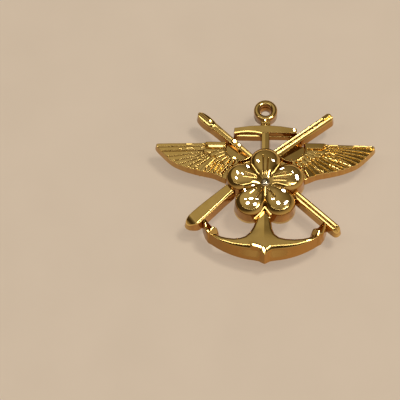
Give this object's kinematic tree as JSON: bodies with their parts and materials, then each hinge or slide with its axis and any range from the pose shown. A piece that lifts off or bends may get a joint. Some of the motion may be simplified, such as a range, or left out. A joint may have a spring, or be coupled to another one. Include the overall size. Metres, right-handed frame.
{
  "type": "pilot wings badge",
  "caption": "Gold badge with spread wings, crossed rifles, an anchor and a petalled blossom, held by sharp posts and squeeze clutches.",
  "frame": {"origin": "centre of the blossom, on the flat back face of the badge; the posts and clutches are below it", "axes": "+Z out of the front of the badge, +Y towards the anchor's ring, +X to the right wing as seen from the front"},
  "size_m": [0.0556, 0.0449, 0.0114],
  "materials": {
    "gold_wing": "polished gold plate over struck brass, darker in the grooves",
    "gold_rifle": "polished gold plate",
    "gold_anchor": "polished gold plate, lightly rubbed on the ridges",
    "gold_blossom": "mirror polished gold plate",
    "gold_back": "satin gold plate with striking marks",
    "post_nickel": "turned nickel silver",
    "clutch_brass": "bright pressed brass",
    "clutch_spring": "sprung brass strip"
  },
  "bodies": {
    "badge": {"back_plate": "gold_back", "left_wing": "gold_wing", "right_wing": "gold_wing", "right_rifle": "gold_rifle", "left_rifle": "gold_rifle", "anchor": "gold_anchor", "anchor_stock": "gold_anchor", "anchor_ring": "gold_anchor", "blossom": "gold_blossom", "centre_rivet": "gold_blossom", "left_post": "post_nickel", "right_post": "post_nickel", "lower_post": "post_nickel"},
    "left_clutch": {"left_clutch_dish": "clutch_brass"},
    "left_squeeze_a": {"left_clutch_wing_a": "clutch_spring"},
    "left_squeeze_b": {"left_clutch_wing_b": "clutch_spring"},
    "right_clutch": {"right_clutch_dish": "clutch_brass"},
    "right_squeeze_a": {"right_clutch_wing_a": "clutch_spring"},
    "right_squeeze_b": {"right_clutch_wing_b": "clutch_spring"},
    "lower_clutch": {"lower_clutch_dish": "clutch_brass"},
    "lower_squeeze_a": {"lower_clutch_wing_a": "clutch_spring"},
    "lower_squeeze_b": {"lower_clutch_wing_b": "clutch_spring"}
  },
  "joints": [
    {"name": "left_clutch_pull", "type": "slide", "parent": "badge", "child": "left_clutch", "axis": [0, 0, -1], "range_m": [0, 0.006]},
    {"name": "right_clutch_pull", "type": "slide", "parent": "badge", "child": "right_clutch", "axis": [0, 0, -1], "range_m": [0, 0.006]},
    {"name": "lower_clutch_pull", "type": "slide", "parent": "badge", "child": "lower_clutch", "axis": [0, 0, -1], "range_m": [0, 0.006]},
    {"name": "left_squeeze", "type": "hinge", "parent": "left_clutch", "child": "left_squeeze_a", "pos_m": [-0.0105, 0.0086, -0.003], "axis": [0, 1, 0], "range_deg": [0, 10], "stiffness_Nm_per_rad": 0.002, "springref_deg": -17.19},
    {"name": "left_squeeze_other", "type": "hinge", "parent": "left_clutch", "child": "left_squeeze_b", "pos_m": [-0.0147, 0.0086, -0.003], "axis": [0, -1, 0], "range_deg": [0, 10], "stiffness_Nm_per_rad": 0.002, "springref_deg": -17.19},
    {"name": "right_squeeze", "type": "hinge", "parent": "right_clutch", "child": "right_squeeze_a", "pos_m": [0.0147, 0.0086, -0.003], "axis": [0, 1, 0], "range_deg": [0, 10], "stiffness_Nm_per_rad": 0.002, "springref_deg": -17.19},
    {"name": "right_squeeze_other", "type": "hinge", "parent": "right_clutch", "child": "right_squeeze_b", "pos_m": [0.0105, 0.0086, -0.003], "axis": [0, -1, 0], "range_deg": [0, 10], "stiffness_Nm_per_rad": 0.002, "springref_deg": -17.19},
    {"name": "lower_squeeze", "type": "hinge", "parent": "lower_clutch", "child": "lower_squeeze_a", "pos_m": [0.0021, -0.0046, -0.003], "axis": [0, 1, 0], "range_deg": [0, 10], "stiffness_Nm_per_rad": 0.002, "springref_deg": -17.19},
    {"name": "lower_squeeze_other", "type": "hinge", "parent": "lower_clutch", "child": "lower_squeeze_b", "pos_m": [-0.0021, -0.0046, -0.003], "axis": [0, -1, 0], "range_deg": [0, 10], "stiffness_Nm_per_rad": 0.002, "springref_deg": -17.19}
  ]
}
